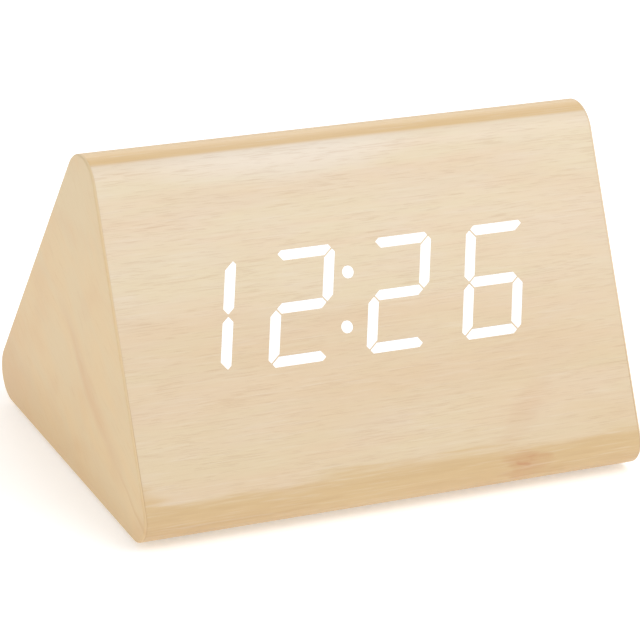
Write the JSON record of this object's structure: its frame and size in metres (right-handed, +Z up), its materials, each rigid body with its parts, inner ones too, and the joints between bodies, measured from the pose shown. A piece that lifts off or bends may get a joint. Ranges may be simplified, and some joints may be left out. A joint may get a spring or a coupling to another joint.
{
  "type": "digital alarm clock",
  "caption": "Triangular wooden bedside clock with a slanted glowing segment display in its sloping front and a rear cover with battery door, buttons and power socket.",
  "frame": {"origin": "on the surface the clock stands on, under the middle of its bounding box", "axes": "+X to the right seen from the front, along the long edges; the display slopes up and back and faces -Y; +Z up"},
  "size_m": [0.13, 0.0888, 0.0797],
  "materials": {
    "wood_film": "pale cream-beige wood film with fine pores, satin lacquer",
    "fibreboard": "raw medium-density fibreboard",
    "segment_glow": "clear light guide, white where it shines",
    "black_moulding": "fine-textured black moulding",
    "rubber_pad": "matt rubber",
    "circuit_board": "green solder mask",
    "ribbon": "grey flat cable",
    "steel": "plated steel",
    "brass_pin": "bright brass",
    "cell_jacket": "plain printed sleeve"
  },
  "bodies": {
    "root": {"mdf_front_panel": "fibreboard", "mdf_back_panel": "fibreboard", "mdf_bottom_panel": "fibreboard", "mdf_left_end": "fibreboard", "mdf_right_end": "fibreboard", "veneer_wrap": "wood_film", "left_end_veneer": "wood_film", "right_end_veneer": "wood_film", "foot_1": "rubber_pad", "foot_2": "rubber_pad", "foot_3": "rubber_pad", "foot_4": "rubber_pad", "segment_mask": "black_moulding", "digit_1_light_guide": "segment_glow", "digit_2_light_guide": "segment_glow", "digit_3_light_guide": "segment_glow", "digit_4_light_guide": "segment_glow", "colon_light_guide": "segment_glow", "led_board": "circuit_board", "controller_chip": "black_moulding", "clock_crystal": "steel", "ribbon_cable": "ribbon", "display_screw_1": "steel", "display_screw_2": "steel", "display_screw_3": "steel", "display_screw_4": "steel", "rear_cover": "black_moulding", "cover_screw_1": "steel", "cover_screw_2": "steel", "cover_screw_3": "steel", "cover_screw_4": "steel", "battery_1": "cell_jacket", "battery_2": "cell_jacket", "battery_3": "cell_jacket", "battery_spring_1": "steel", "battery_spring_2": "steel", "battery_spring_3": "steel", "contact_plate_1": "steel", "contact_plate_2": "steel", "contact_plate_3": "steel", "tact_switch_1": "steel", "tact_switch_2": "steel", "tact_switch_3": "steel", "main_board": "circuit_board", "board_screw_1": "steel", "board_screw_2": "steel", "power_jack": "black_moulding", "jack_pin": "brass_pin", "sounder": "black_moulding", "microphone": "steel", "coin_cell_holder": "black_moulding", "coin_cell": "steel"},
    "battery_door": {"battery_door": "black_moulding"},
    "set_button": {"set_button": "black_moulding", "tact_plunger_1": "black_moulding"},
    "up_button": {"up_button": "black_moulding", "tact_plunger_2": "black_moulding"},
    "down_button": {"down_button": "black_moulding", "tact_plunger_3": "black_moulding"}
  },
  "joints": [
    {"name": "battery_door_open", "type": "hinge", "parent": "root", "child": "battery_door", "pos_m": [0.0217, 0.03479, 0.02737], "axis": [-1, 0, 0], "range_deg": [0, 70]},
    {"name": "set_button_press", "type": "slide", "parent": "root", "child": "set_button", "axis": [0, -0.871, -0.4914], "range_m": [0, 0.0005], "stiffness_N_per_m": 900, "springref_m": -0.0005},
    {"name": "up_button_press", "type": "slide", "parent": "root", "child": "up_button", "axis": [0, -0.871, -0.4914], "range_m": [0, 0.0005], "stiffness_N_per_m": 900, "springref_m": -0.0005},
    {"name": "down_button_press", "type": "slide", "parent": "root", "child": "down_button", "axis": [0, -0.871, -0.4914], "range_m": [0, 0.0005], "stiffness_N_per_m": 900, "springref_m": -0.0005}
  ]
}
